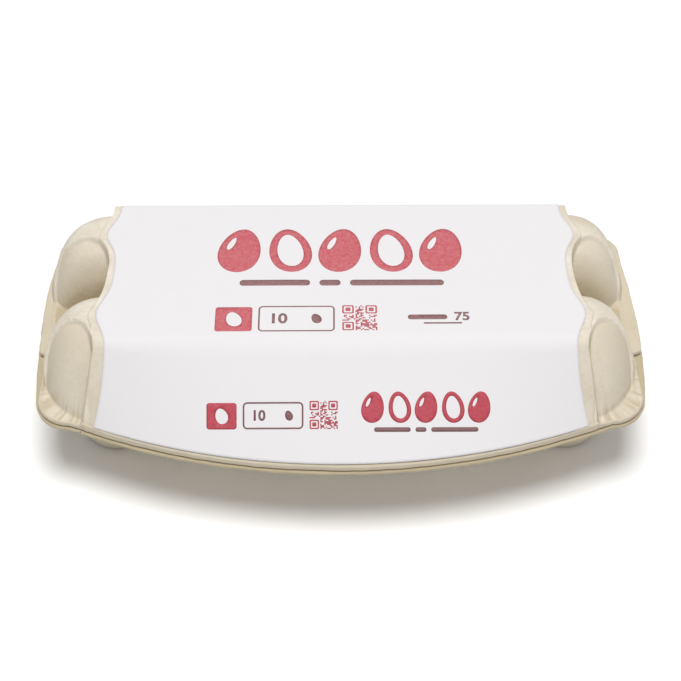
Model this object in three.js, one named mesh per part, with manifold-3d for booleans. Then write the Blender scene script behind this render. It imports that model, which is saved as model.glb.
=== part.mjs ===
import * as THREE from 'three';
import { mergeVertices } from 'three/addons/utils/BufferGeometryUtils.js';
import Module from 'manifold-3d';

// A shut carton for two rows of five extra large eggs, moulded in paper pulp, with a paper label.
// The lid and the tray are one moulding, folded at the back, and meet in a groove everywhere else.
// Millimetres, +Z up, +X along the rows of eggs, and the bowed front faces -Y.

// Eggs
const eggsPerRow = 5;
const eggPitch = 49.5; // between eggs of a row
const rowY = 25; // from the middle line to each row
const endEggX = eggPitch * (eggsPerRow - 1) / 2;

// Overall outline of the tray's rim, seen from above
const halfLength = 129.2; // at the corners
const sideBow = 3; // how far the ends bulge between the corners
const sideBowHalf = 44; // half the length of that bulge
const sideBowY = -5;
const sideBlendStart = 114; // the ends' outline is bent only outside this
const backY = 56;
const backCornerRadius = 10;
const frontY = -83.7; // middle of the bowed front
const frontCornerX = 115.2; // where the bow meets the corner's arc
const frontCornerY = -45;
const frontCornerRadius = 14;

// Heights
const rimBottom = 34; // underside of the tray's rim
const partingZ = 36.55; // middle of the groove between lid and tray
const grooveHalf = 0.4;
const grooveDepth = 3.5;
const coreOverlap = 0.5; // how far the joining core reaches into lid and tray
const shelfZ = 39.3; // top of the lid's flange
const panelZ = 71.35; // pulp under the label

// Tray
const footRadius = 12; // flat foot under each egg
const footRounding = 1.6;
const mouthRadius = 24.3;
const cupHeight = 35.4;
const cupCurve = 1.45; // above 1, the cup's wall starts flat and ends steep
const cupSides = 24;
const cupRings = 5;
const webBottom = 19; // underside of the webs that join the cups
const webTop = 35.2;
const webHalfBottom = 2.5;
const webHalfTop = 11;
const apronDrop = 12; // how far the bulged front hangs below the rim, beside the cups
const apronLip = 5;
const apronBackY = -30;
const apronInner = 96; // the apron fades out between these two
const apronOuter = 114;
const apronTop = 35;
const apronRows = 6;

// Lid block, the raised part that carries the label
const lidLedge = 1.5; // the tray's rim shows this far in front of the lid
const lidSideLedge = 0.7;
const frontFoldY = -41;
const backFoldY = 42.5;
const panelFootGap = 0.6; // from the lid's front edge to the foot of the front panel
const backFootGap = 2;
const foldSoftness = 4;
const backSoftness = 3;
const endSoftness = 2.5;
const endRise = 9; // rise of the block's end walls for each mm inwards
const pulpMargin = 3; // pulp that shows beside the label
const frontBlockHalf = 104.5;
const blockFootHalf = 104; // the front panel's foot is straight outside this

// Egg domes at both ends of the lid
const crownZ = 70.6;
const domeBaseZ = 38.5;
const domeOut = 28.3; // reach of a dome towards the end
const domeIn = 22; // reach of a dome into the block
const outPower = 3.6;
const domes = {
  front: { y: -rowY, reachFront: 35, reachBack: 26, powerFront: 2, powerBack: 3.6, planFront: 1.85 },
  back: { y: rowY, reachFront: 26, reachBack: 30, powerFront: 2.6, powerBack: 3.2, planFront: 2.3 },
};
const domePlan = 2.3;
const domeBlend = 4;
const blockBlend = 4.5;
const shelfBlend = 2.5;
const valleyRise = 9; // the floor between two domes climbs this much towards the block
const valleyInner = 104;
const valleyOuter = 126;
const valleyHalf = 17;
const valleyFade = 9;

// Oval flats pressed into the domes' front flanks
const ovals = {
  front: { x: 113.7, y: -47.5, halfX: 10.3, halfY: 20.5 },
  back: { x: 113.2, y: 5, halfX: 11.5, halfY: 18.5 },
};
const ovalPlan = 2.35;
const ovalDepth = 1.3;
const ovalEdge = 0.16;

// Finger notch in the lid's flange at both ends
const notchStartY = -16;
const notchLength = 32;
const notchDepth = 4.4;
const notchRamp = 4;

// Hinge bead at the back
const hingeHalfLength = 97;
const hingeHalfDepth = 2.2;
const hingeHalfHeight = 2.7;
const hingeSides = 6;

// Label
const labelGap = 0.32;
const labelThickness = 0.35;
const labelHalfX = 97.3;
const labelBackY = 45.6; // the sheet turns a little way down the back
const labelBulges = [
  { y: -25, reach: 5.4, spread: 11 },
  { y: 23.5, reach: 5, spread: 9 },
];
const labelFootFlare = 5.5; // the sheet widens towards its lower front edge
const labelFlarePower = 1.8;
const labelFootGap = 1.7; // from the lid's front edge to the label's lower edge
const labelColumns = 16;
const labelRows = { front: 5, fold: 3, top: 12, backFold: 2, back: 1 };

// Grid lines
const rimColumns = { middle: 18, wall: 6, end: 12, middleHalf: 95, wallHalf: 105 };
const lidColumns = { half: 32, coarse: 0.24, coarseHalf: 90, fineHalf: 97, samples: 400 };
const lidRows = { edge: 1, foot: 2, front: 6, fold: 3, top: 25, backFold: 2, back: 4, lip: 1 };
const foldZone = 3; // the grid is finer this far on both sides of a fold
const footZone = 2.6; // and this far above the foot of the front panel
const endRows = 12;

// Helpers
const mix = (a, b, t) => a + (b - a) * t;
const clamp = (v, low, high) => Math.min(high, Math.max(low, v));

function ease(from, to, v) {
  const t = clamp((v - from) / (to - from), 0, 1);
  return t * t * (3 - 2 * t);
}

function softMin(a, b, width) {
  const t = clamp(0.5 + 0.5 * (b - a) / width, 0, 1);
  return mix(b, a, t) - width * t * (1 - t);
}

const softMax = (a, b, width) => -softMin(-a, -b, width);

// Outline of the rim: the front and back edge for each column, and how the ends are bent
const bow = frontCornerY - frontCornerRadius - frontY;
const bowRadius = (frontCornerX ** 2 + bow ** 2) / (2 * bow);

function frontEdge(column) {
  const c = Math.abs(column);
  if (c > frontCornerX) {
    return frontCornerY - Math.sqrt(Math.max(0, frontCornerRadius ** 2 - (c - frontCornerX) ** 2));
  }
  return frontY + bowRadius - Math.sqrt(bowRadius ** 2 - c ** 2);
}

function backEdge(column) {
  const past = Math.max(0, Math.abs(column) - (halfLength - backCornerRadius));
  return backY - backCornerRadius + Math.sqrt(Math.max(0, backCornerRadius ** 2 - past ** 2));
}

function endBend(column, y, notched) {
  const share = ease(sideBlendStart, halfLength, Math.abs(column));
  const bulge = sideBow * Math.max(0, 1 - ((y - sideBowY) / sideBowHalf) ** 2);
  const along = clamp((notchStartY - y) / notchLength, 0, 1);
  const notch = notchDepth * (1 - along) * ease(notchStartY, notchStartY - notchRamp, y);
  return Math.sign(column) * share * (bulge - (notched ? notch : 0));
}

// Lid
function labelHalf(y) {
  const bulges = labelBulges.map((b) => (b.y * y > 0 ? b.reach * Math.exp(-(((y - b.y) / b.spread) ** 2)) : 0));
  return labelHalfX + bulges.reduce((sum, b) => sum + b, 0);
}

function blockHalf(y) {
  return Math.max(labelHalf(y) + pulpMargin, frontBlockHalf * ease(-16, -26, y));
}

function panelTop(x, y) {
  const rise = panelZ - shelfZ;
  const foot = frontEdge(Math.min(Math.abs(x), blockFootHalf)) + lidLedge + panelFootGap;
  const backFoot = backY - backFootGap;
  const front = shelfZ + rise * (y - foot) / (frontFoldY - foot);
  const back = shelfZ + rise * (backFoot - y) / (backFoot - backFoldY);
  return softMin(softMin(front, panelZ, foldSoftness), back, backSoftness);
}

function blockTop(x, y) {
  const end = panelZ + endRise * (blockHalf(y) - Math.abs(x));
  return softMin(panelTop(x, y), end, endSoftness);
}

function domeTop(x, y, dome) {
  const dx = Math.abs(x) - endEggX;
  const dy = y - dome.y;
  const u = Math.abs(dx) / (dx > 0 ? domeOut : domeIn);
  const v = Math.abs(dy) / (dy < 0 ? dome.reachFront : dome.reachBack);
  const plan = dy < 0 ? dome.planFront : domePlan;
  const radius = (u ** plan + v ** plan) ** (1 / plan);
  const share = u * u / (u * u + v * v + 1e-9);
  const power = mix(dy < 0 ? dome.powerFront : dome.powerBack, outPower, share);
  return domeBaseZ + (crownZ - domeBaseZ) * (1 - radius ** power);
}

function ovalShare(x, y, oval) {
  const u = Math.abs((Math.abs(x) - oval.x) / oval.halfX);
  const v = Math.abs((y - oval.y) / oval.halfY);
  const radius = (u ** ovalPlan + v ** ovalPlan) ** (1 / ovalPlan);
  return ease(1 + ovalEdge, 1 - ovalEdge, radius);
}

function lidTop(x, y) {
  const a = Math.abs(x);
  const front = domeTop(x, y, domes.front);
  const back = domeTop(x, y, domes.back);
  const valleyShare = ease(valleyOuter, valleyInner, a) * ease(valleyHalf + valleyFade, valleyHalf, Math.abs(y));
  const valley = mix(shelfZ - 2 * domeBlend, shelfZ + valleyRise, valleyShare);
  const rounded = softMax(softMax(front, back, domeBlend), valley, domeBlend);
  let z = Math.min(panelZ, softMax(blockTop(x, y), rounded, blockBlend));
  const frontFlat = softMax(front - ovalDepth, domeBaseZ, 2);
  const backFlat = softMax(softMax(back - ovalDepth, front, 2), valley, 3);
  z = mix(z, Math.min(z, frontFlat), ovalShare(x, y, ovals.front));
  z = mix(z, Math.min(z, backFlat), ovalShare(x, y, ovals.back));
  return softMax(z, shelfZ, shelfBlend);
}

// Closed solids on a grid of columns and rows
function surfaceSolid(points, flatZ) {
  const nx = points.length - 1;
  const ny = points[0].length - 1;
  const position = [];
  const index = [];
  const at = (i, j) => i * (ny + 1) + j;
  points.forEach((column) => column.forEach((p) => position.push(...p)));
  for (let i = 0; i < nx; i += 1) {
    for (let j = 0; j < ny; j += 1) {
      index.push(at(i, j), at(i + 1, j), at(i + 1, j + 1));
      index.push(at(i, j), at(i + 1, j + 1), at(i, j + 1));
    }
  }
  const rim = [];
  for (let i = 0; i < nx; i += 1) rim.push(at(i, 0));
  for (let j = 0; j < ny; j += 1) rim.push(at(nx, j));
  for (let i = nx; i > 0; i -= 1) rim.push(at(i, ny));
  for (let j = ny; j > 0; j -= 1) rim.push(at(0, j));
  const flatStart = position.length / 3;
  rim.forEach((r) => position.push(position[3 * r], position[3 * r + 1], flatZ));
  const hub = position.length / 3;
  const middle = points[Math.round(nx / 2)];
  position.push(0, (middle[0][1] + middle[ny][1]) / 2, flatZ);
  rim.forEach((r, k) => {
    const next = (k + 1) % rim.length;
    index.push(r, flatStart + k, flatStart + next);
    index.push(r, flatStart + next, rim[next]);
    index.push(hub, flatStart + next, flatStart + k);
  });
  if (flatZ > points[0][0][2]) {
    index.reverse();
  }
  const geometry = new THREE.BufferGeometry();
  geometry.setAttribute('position', new THREE.Float32BufferAttribute(position, 3));
  geometry.setIndex(index);
  return geometry;
}

function steps(breaks, counts) {
  const lines = [breaks[0]];
  counts.forEach((count, k) => {
    for (let s = 1; s <= count; s += 1) lines.push(mix(breaks[k], breaks[k + 1], s / count));
  });
  return lines;
}

function mirrored(half) {
  return [...half.slice(1).map((c) => -c).reverse(), ...half];
}

function allColumns() {
  return mirrored(steps(
    [0, rimColumns.middleHalf, rimColumns.wallHalf, halfLength],
    [rimColumns.middle / 2, rimColumns.wall, rimColumns.end],
  ));
}

function lidPoint(column, row) {
  const low = frontEdge(column) + lidLedge;
  const high = backEdge(column);
  const shaped = steps([
    low,
    low + panelFootGap,
    low + panelFootGap + footZone,
    frontFoldY - foldZone,
    frontFoldY + foldZone,
    backFoldY - foldZone,
    backFoldY + foldZone / 2,
    backY - backFootGap,
    backY,
  ], Object.values(lidRows));
  const share = ease(rimColumns.wallHalf, frontCornerX + 2, Math.abs(column));
  const y = mix(shaped[row], mix(low, high, row / (shaped.length - 1)), share);
  const x = column * (1 - lidSideLedge / halfLength) + endBend(column, y, true);
  return [x, y, lidTop(x, y)];
}

// In each row the columns stand at equal steps along the surface, and closer in the ends
function lidRow(row) {
  const samples = steps([0, halfLength], [lidColumns.samples]);
  const points = samples.map((c) => lidPoint(c, row));
  const run = [0];
  for (let k = 1; k < samples.length; k += 1) {
    const step = Math.hypot(...points[k].map((v, axis) => v - points[k - 1][axis]));
    const weight = mix(lidColumns.coarse, 1, ease(lidColumns.coarseHalf, lidColumns.fineHalf, samples[k]));
    run.push(run[k - 1] + step * weight);
  }
  const half = steps([0, run.at(-1)], [lidColumns.half]).map((distance) => {
    const k = clamp(run.findIndex((r) => r >= distance - 1e-9), 1, run.length - 1);
    return mix(samples[k - 1], samples[k], clamp((distance - run[k - 1]) / (run[k] - run[k - 1]), 0, 1));
  });
  return mirrored(half).map((c) => lidPoint(c, row));
}

function lidGrid() {
  const rowCount = Object.values(lidRows).reduce((sum, n) => sum + n, 0) + 1;
  const rows = Array.from({ length: rowCount }, (_, row) => lidRow(row));
  return rows[0].map((_, column) => rows.map((row) => row[column]));
}

// A flat slab inside the rim's outline, pulled in at the front and the ends
function slab(pullIn, low, high) {
  const ring = [];
  const add = (c, y) => {
    const scale = 1 - pullIn / halfLength;
    ring.push([(c + endBend(c, y, false)) * scale, y < 0 ? y * (1 + pullIn / frontY) : y]);
  };
  const columns = allColumns();
  const ends = steps([frontEdge(halfLength), backEdge(halfLength)], [endRows]).slice(1, -1);
  columns.forEach((c) => add(c, frontEdge(c)));
  ends.forEach((y) => add(halfLength, y));
  columns.reverse().forEach((c) => add(c, backEdge(c)));
  ends.reverse().forEach((y) => add(-halfLength, y));
  const position = [0, sideBowY, low, 0, sideBowY, high];
  const index = [];
  ring.forEach(([x, y], k) => {
    position.push(x, y, low, x, y, high);
    const here = 2 + 2 * k;
    const next = 2 + 2 * ((k + 1) % ring.length);
    index.push(here, next, next + 1, here, next + 1, here + 1);
    index.push(0, next, here, 1, here + 1, next + 1);
  });
  const geometry = new THREE.BufferGeometry();
  geometry.setAttribute('position', new THREE.Float32BufferAttribute(position, 3));
  geometry.setIndex(index);
  return geometry;
}

// Tray
function cup(x, y) {
  const profile = [[0, 0], [footRadius, 0], [footRadius + footRounding, footRounding / 2]];
  for (let ring = 1; ring <= cupRings; ring += 1) {
    const height = ring / cupRings;
    const inward = (mouthRadius - footRadius - footRounding) * (1 - height) ** cupCurve;
    profile.push([mouthRadius - inward, mix(footRounding / 2, cupHeight, height)]);
  }
  profile.push([0, cupHeight]);
  const geometry = new THREE.LatheGeometry(profile.map((p) => new THREE.Vector2(...p)), cupSides);
  geometry.rotateX(Math.PI / 2);
  geometry.translate(x, y, 0);
  return geometry;
}

function web(length, turned, x, y) {
  const section = new THREE.Shape();
  section.moveTo(-webHalfBottom, webBottom);
  section.lineTo(webHalfBottom, webBottom);
  section.lineTo(webHalfTop, webTop);
  section.lineTo(-webHalfTop, webTop);
  section.closePath();
  const geometry = new THREE.ExtrudeGeometry(section, { depth: length, bevelEnabled: false });
  geometry.translate(0, 0, -length / 2);
  geometry.rotateX(Math.PI / 2);
  geometry.rotateZ(turned ? Math.PI / 2 : 0);
  geometry.translate(x, y, 0);
  return geometry;
}

function apron() {
  const columns = allColumns().filter((c) => Math.abs(c) < apronOuter);
  return surfaceSolid(columns.map((c) => {
    const low = frontEdge(c) + apronLip;
    const rows = steps([low, apronBackY], [apronRows]);
    return rows.map((y) => {
      const drop = apronDrop * ease(low, apronBackY, y) * ease(apronOuter, apronInner, Math.abs(c));
      return [c, y, rimBottom + 0.5 - drop];
    });
  }), apronTop);
}

function trayPieces() {
  const pieces = [slab(0, rimBottom, partingZ - grooveHalf), apron()];
  [-rowY, rowY].forEach((y) => pieces.push(web(2 * endEggX, true, 0, y)));
  for (let egg = 0; egg < eggsPerRow; egg += 1) {
    const x = egg * eggPitch - endEggX;
    pieces.push(cup(x, -rowY), cup(x, rowY), web(2 * rowY, false, x, 0));
  }
  return pieces;
}

function hingeBead() {
  const profile = new THREE.Shape();
  for (let k = 0; k < 4 * hingeSides; k += 1) {
    const angle = Math.PI * k / (2 * hingeSides);
    const point = [hingeHalfHeight * Math.cos(angle), hingeHalfDepth * Math.sin(angle)];
    profile[k ? 'lineTo' : 'moveTo'](...point);
  }
  profile.closePath();
  const bead = new THREE.ExtrudeGeometry(profile, { depth: 2 * hingeHalfLength, bevelEnabled: false });
  bead.rotateY(Math.PI / 2);
  bead.translate(-hingeHalfLength, backY, partingZ);
  return bead;
}

// Label: a sheet of paper laid over the top, down the front panel and over the back edge
function labelLines(x) {
  const foot = frontEdge(x) + lidLedge + labelFootGap;
  return steps([
    foot,
    frontFoldY - foldZone,
    frontFoldY + foldZone,
    backFoldY - foldZone,
    backFoldY + foldZone / 2,
    labelBackY,
  ], Object.values(labelRows));
}

function labelPoint(across, row, lift) {
  const lines = labelLines(across * labelHalfX);
  const down = clamp((frontFoldY - lines[row]) / (frontFoldY - lines[0]), 0, 1);
  const half = labelHalf(Math.max(lines[row], frontFoldY)) + labelFootFlare * down ** labelFlarePower;
  const x = across * half;
  const y = labelLines(x)[row];
  const surface = (at) => softMax(panelTop(x, at), shelfZ, shelfBlend);
  const reach = 0.05;
  const slope = (surface(y + reach) - surface(y - reach)) / (2 * reach);
  const length = Math.hypot(1, slope);
  return [x, y - lift * slope / length, surface(y) + lift / length];
}

function labelSheet() {
  const rows = Object.values(labelRows).reduce((sum, n) => sum + n, 0);
  const position = [];
  const index = [];
  [labelGap, labelGap + labelThickness].forEach((lift) => {
    for (let i = 0; i <= labelColumns; i += 1) {
      for (let j = 0; j <= rows; j += 1) position.push(...labelPoint(2 * i / labelColumns - 1, j, lift));
    }
  });
  const at = (side, i, j) => (side * (labelColumns + 1) + i) * (rows + 1) + j;
  const quad = (a, b, c, d) => index.push(a, b, c, a, c, d);
  for (let i = 0; i < labelColumns; i += 1) {
    for (let j = 0; j < rows; j += 1) {
      quad(at(1, i, j), at(1, i + 1, j), at(1, i + 1, j + 1), at(1, i, j + 1));
      quad(at(0, i, j + 1), at(0, i + 1, j + 1), at(0, i + 1, j), at(0, i, j));
    }
    quad(at(0, i, 0), at(0, i + 1, 0), at(1, i + 1, 0), at(1, i, 0));
    quad(at(1, i, rows), at(1, i + 1, rows), at(0, i + 1, rows), at(0, i, rows));
  }
  for (let j = 0; j < rows; j += 1) {
    quad(at(1, 0, j), at(1, 0, j + 1), at(0, 0, j + 1), at(0, 0, j));
    quad(at(0, labelColumns, j), at(0, labelColumns, j + 1), at(1, labelColumns, j + 1), at(1, labelColumns, j));
  }
  const geometry = new THREE.BufferGeometry();
  geometry.setAttribute('position', new THREE.Float32BufferAttribute(position, 3));
  geometry.setIndex(index);
  return geometry;
}

// Joining
const wasm = await Module();
wasm.setup();

function toSolid(geometry) {
  const bare = new THREE.BufferGeometry();
  bare.setAttribute('position', geometry.getAttribute('position'));
  bare.setIndex(geometry.getIndex());
  const merged = mergeVertices(bare, 1e-4);
  const corners = merged.getIndex() ? [...merged.getIndex().array] : [];
  const triVerts = [];
  for (let k = 0; k < corners.length; k += 3) {
    const [a, b, c] = corners.slice(k, k + 3);
    if (a !== b && b !== c && c !== a) triVerts.push(a, b, c);
  }
  return new wasm.Manifold(new wasm.Mesh({
    numProp: 3,
    vertProperties: new Float32Array(merged.getAttribute('position').array),
    triVerts: new Uint32Array(triVerts),
  }));
}

function toGeometry(solid) {
  const mesh = solid.getMesh();
  const geometry = new THREE.BufferGeometry();
  geometry.setAttribute('position', new THREE.Float32BufferAttribute(mesh.vertProperties, 3));
  geometry.setIndex([...mesh.triVerts]);
  return geometry;
}

function cartonSolid() {
  const core = slab(grooveDepth, partingZ - grooveHalf - coreOverlap, partingZ + grooveHalf + coreOverlap);
  const pieces = [surfaceSolid(lidGrid(), partingZ + grooveHalf), core, hingeBead(), ...trayPieces()];
  return pieces.map(toSolid).reduce((joined, piece) => joined.add(piece));
}

// Scene
function piece(name, geometry, color, roughness) {
  geometry.computeVertexNormals();
  const material = new THREE.MeshStandardMaterial({ color, roughness, metalness: 0 });
  const mesh = new THREE.Mesh(geometry, material);
  mesh.name = name;
  return mesh;
}

const carton = new THREE.Group();
carton.add(piece('carton', toGeometry(cartonSolid()), 0xd9cdb6, 0.95));
carton.add(piece('label', labelSheet(), 0xf0eff1, 0.6));
carton.position.y = -(frontY + backY + hingeHalfDepth) / 2;

export default carton;
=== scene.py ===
import math
from itertools import product
import bpy
import numpy as np
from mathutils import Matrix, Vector
from mathutils.geometry import delaunay_2d_cdt


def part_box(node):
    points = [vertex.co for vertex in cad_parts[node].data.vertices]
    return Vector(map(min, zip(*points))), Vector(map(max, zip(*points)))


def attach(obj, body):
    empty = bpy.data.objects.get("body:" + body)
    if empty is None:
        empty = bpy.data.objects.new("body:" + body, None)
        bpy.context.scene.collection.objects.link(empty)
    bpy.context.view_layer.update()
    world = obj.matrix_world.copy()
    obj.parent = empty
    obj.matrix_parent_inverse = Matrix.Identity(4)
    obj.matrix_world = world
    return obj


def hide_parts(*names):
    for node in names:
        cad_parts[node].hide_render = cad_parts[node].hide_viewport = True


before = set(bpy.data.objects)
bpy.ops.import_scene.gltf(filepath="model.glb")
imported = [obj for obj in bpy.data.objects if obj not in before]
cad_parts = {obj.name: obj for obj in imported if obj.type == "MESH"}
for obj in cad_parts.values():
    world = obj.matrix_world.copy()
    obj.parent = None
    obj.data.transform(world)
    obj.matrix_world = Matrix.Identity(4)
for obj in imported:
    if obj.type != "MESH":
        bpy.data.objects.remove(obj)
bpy.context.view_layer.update()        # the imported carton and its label, in metres, +Z up
cartonLow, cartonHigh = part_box("carton")
print("frame loaded:", sorted(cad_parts))

# Sizes are millimetres, and Y is counted from the middle line between the two rows of eggs.
# toMetres() turns points into the frame's own metres and origin.
mm = 0.001
outline = {
    "halfLength": cartonHigh.x / mm - 3.0,      # at the corners; the ends bulge by the rest
    "endBow": 3.0, "endBowHalf": 44.0, "endBowY": -5.0,
    "bendStart": 114.0, "backY": 56.0, "backRadius": 10.0,
    "frontY": -83.7, "cornerX": 115.2, "cornerY": -45.0,
    "cornerRadius": 14.0, "partingZ": 36.55, "gapDepth": 3.5,
    "halfGap": 0.2,         # half of the dark line between lid and tray
}
eggs = {"rowY": 25.0, "pitch": 49.5, "perRow": 5}
endEggX = eggs["pitch"] * (eggs["perRow"] - 1) / 2
shiftY = cartonLow.y / mm - outline["frontY"]


# Shared shapes
def mix(a, b, t):
    return a + (b - a) * t


def ease(start, end, value):
    t = np.clip((value - start) / (end - start), 0, 1)
    return t * t * (3 - 2 * t)


def softMin(a, b, width):
    t = np.clip(0.5 + 0.5 * (b - a) / width, 0, 1)
    return mix(b, a, t) - width * t * (1 - t)


def softMax(a, b, width):
    return -softMin(-a, -b, width)


def hump(value, centre, width):
    return np.exp(-((value - centre) / width) ** 2)


# Soft random relief from -1 to 1, with lumps about one cell wide
def lumps(points, cell, seed):
    size = 32
    shift = 500     # keeps the carton away from the lattice's origin
    lattice = np.random.default_rng(seed).uniform(-1, 1, (size, size, size))
    p = np.asarray(points) / cell + shift
    low = np.floor(p).astype(int)
    t = p - low
    t = t * t * (3 - 2 * t)
    total = np.zeros(p.shape[:-1])
    for corner in product((0, 1), repeat=3):
        share = np.prod(np.where(np.array(corner) == 1, t, 1 - t), axis=-1)
        i = (low + np.array(corner)) % size
        total += share * lattice[i[..., 0], i[..., 1], i[..., 2]]
    return total


# Layers of lumps, each with its height, the size of its cells and its seed
def layered(points, layers):
    return sum(height * lumps(points, cell, seed) for height, cell, seed in layers)


# Meshes
def toMetres(points):
    return (np.asarray(points, float) + np.array([0, shiftY, 0])) * mm


def addObject(name, data):
    added = bpy.data.objects.new(name, data)
    bpy.context.scene.collection.objects.link(added)
    return added


def makePiece(name, points, faces, material, stainAndShade=None):
    mesh = bpy.data.meshes.new(name)
    mesh.from_pydata(toMetres(points).tolist(), [], [tuple(int(v) for v in f) for f in faces])
    mesh.validate()
    mesh.shade_smooth()
    mesh.materials.append(material)
    # A per-point brown share: real discolouring of the pulp, and painted shade in hollows, creases and
    # edges
    if stainAndShade is not None:
        layer = mesh.attributes.new("stainAndShade", "FLOAT", "POINT")
        layer.data.foreach_set("value", np.asarray(stainAndShade, np.float32))
    piece = addObject(name, mesh)
    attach(piece, "root")
    return piece


def gridFaces(columns, rows):
    i, j = np.meshgrid(np.arange(columns - 1), np.arange(rows - 1), indexing="ij")
    first = (i * rows + j).ravel()
    return np.stack([first, first + rows, first + rows + 1, first + 1], 1)


def gridRim(columns, rows):
    i, j = np.arange(columns), np.arange(rows)
    return np.concatenate([
        i[:-1] * rows,
        (columns - 1) * rows + j[:-1],
        i[:0:-1] * rows + rows - 1,
        j[:0:-1],
    ])


def outward(loop):
    along = np.roll(loop, -1, axis=0) - np.roll(loop, 1, axis=0)
    side = np.stack([along[:, 1], -along[:, 0]], 1)
    side = side / np.linalg.norm(side, axis=1, keepdims=True)
    return np.column_stack([side, np.zeros(len(side))])


def normals(grid):
    n = np.cross(np.gradient(grid, axis=0), np.gradient(grid, axis=1))
    return n / np.linalg.norm(n, axis=-1, keepdims=True)


# A closed body: a grid, rings that go round its edge, and a point that closes the last ring
def closedBody(grid, rings, facesDown=False):
    columns, rows = grid.shape[:2]
    rim = gridRim(columns, rows)
    count = len(rim)
    start = columns * rows
    loops = [rim] + [start + k * count + np.arange(count) for k in range(len(rings))]
    hub = start + len(rings) * count
    faces = [tuple(f) for f in gridFaces(columns, rows)]
    for near, far in zip(loops, loops[1:]):
        nextNear, nextFar = np.roll(near, -1), np.roll(far, -1)
        faces += [tuple(f) for f in np.stack([near, far, nextFar, nextNear], 1)]
    last = loops[-1]
    faces += [(hub, b, a) for a, b in zip(last, np.roll(last, -1))]
    if facesDown:
        faces = [f[::-1] for f in faces]
    points = np.concatenate([grid.reshape(-1, 3), *rings, rings[-1].mean(axis=0)[None]])
    return points, faces


# Rings for an edge: a rounding that turns upright, then a profile to the parting line
def edgeRings(rim, part, start, up, end):
    side, rounding = outward(rim), part["edgeRound"]
    wide = rounding + layered(rim, part["ragged"])[:, None]
    rings = []
    for k in range(1, part["roundSteps"] + 1):
        turn = math.pi / 2 * k / part["roundSteps"]
        ring = rim + side * wide * math.sin(turn)
        ring[:, 2] = start + up * rounding * (1 - math.cos(turn))
        rings.append(ring)
    for inward, away in part["edgeProfile"]:
        ring = rim + side * (wide - inward)
        ring[:, 2] = end - up * away
        rings.append(ring)
    return rings


# Outline of the rim, seen from above
bow = outline["cornerY"] - outline["cornerRadius"] - outline["frontY"]
bowRadius = (outline["cornerX"] ** 2 + bow ** 2) / (2 * bow)


def frontEdge(column):
    c = np.abs(column)
    past = np.clip(c - outline["cornerX"], 0, outline["cornerRadius"])
    corner = outline["cornerY"] - np.sqrt(outline["cornerRadius"] ** 2 - past ** 2)
    fromCentre = np.sqrt(bowRadius ** 2 - np.minimum(c, outline["cornerX"]) ** 2)
    return np.where(c > outline["cornerX"], corner, outline["frontY"] + bowRadius - fromCentre)


def backEdge(column):
    radius = outline["backRadius"]
    past = np.clip(np.abs(column) - (outline["halfLength"] - radius), 0, radius)
    return outline["backY"] - radius + np.sqrt(radius ** 2 - past ** 2)


# The lid is narrower behind its corner tab, where a finger gets under it
notch = {"startY": -16.0, "length": 32.0, "depth": 4.4, "ramp": 2.5}

# The left end is pressed outwards a little, behind its middle and at the front corner
leftPush = [{"y": 26.0, "reach": 24.0, "by": 1.5}, {"y": -62.0, "reach": 14.0, "by": 0.8}]


def pushAt(y):
    return sum(push["by"] * hump(y, push["y"], push["reach"]) for push in leftPush)


def endBend(column, y, notched):
    share = ease(outline["bendStart"], outline["halfLength"], np.abs(column))
    off = (y - outline["endBowY"]) / outline["endBowHalf"]
    bulge = outline["endBow"] * np.maximum(0, 1 - off ** 2)
    along = np.clip((notch["startY"] - y) / notch["length"], 0, 1)
    cut = notch["depth"] * (1 - along) * ease(notch["startY"], notch["startY"] - notch["ramp"], y)
    pushed = np.where(column < 0, pushAt(y), 0)
    return np.sign(column) * share * (bulge + pushed - (cut if notched else 0))


# Columns are at equal steps along the surface, and closer in the bare ends. The steps are evened
# out over neighbouring rows, so that columns run smoothly across an oval's lip.
spacing = {"samples": 2000, "evenRows": 12, "blend": 6}


def spacedColumns(surface, columns, rows, fineFrom=1.0, coarse=1.0):
    half, reach = outline["halfLength"], spacing["evenRows"]
    dense = np.linspace(-half, half, spacing["samples"])[:, None] * np.ones(rows)
    steps = np.linalg.norm(np.diff(surface(dense), axis=0), axis=-1)
    weights = hump(np.arange(-reach, reach + 1), 0, reach / 2)
    wide = np.pad(steps, ((0, 0), (reach, reach)), mode="edge")
    steps = sum(w * wide[:, k:k + rows] for k, w in enumerate(weights / weights.sum()))
    steps *= mix(coarse, 1, ease(fineFrom - spacing["blend"], fineFrom, np.abs(dense[1:])))
    run = np.vstack([np.zeros(rows), np.cumsum(steps, axis=0)])
    return np.stack([
        np.interp(np.linspace(0, run[-1, j], columns), run[:, j], dense[:, j]) for j in range(rows)
    ], 1)


# Rows at even steps within each band between two lines
def bandedRows(lines, counts):
    band = np.append(np.repeat(np.arange(len(counts)), counts), len(counts) - 1)
    step = np.append(np.concatenate([np.arange(n) / n for n in counts]), 1.0)
    stack = np.stack(np.broadcast_arrays(*lines))
    pick = np.arange(len(band))
    return mix(stack[band, :, pick].T, stack[band + 1, :, pick].T, step)


# Materials
def linear(hexColour):
    channels = [int(hexColour[k:k + 2], 16) / 255 for k in (1, 3, 5)]
    return [c / 12.92 if c <= 0.04045 else ((c + 0.055) / 1.055) ** 2.4 for c in channels] + [1.0]


def addNode(tree, kind, settings=None, values=None, links=None):
    node = tree.nodes.new("ShaderNode" + kind)
    for name, value in (settings or {}).items():
        setattr(node, name, value)
    for socket, value in (values or {}).items():
        node.inputs[socket].default_value = value
    for socket, source in (links or {}).items():
        tree.links.new(source, node.inputs[socket])
    return node


def newMaterial(name):
    material = bpy.data.materials.new(name)
    material.use_nodes = True
    material.node_tree.nodes.clear()
    return material, material.node_tree


def finish(tree, shader):
    addNode(tree, "OutputMaterial", links={"Surface": shader.outputs[0]})


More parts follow.
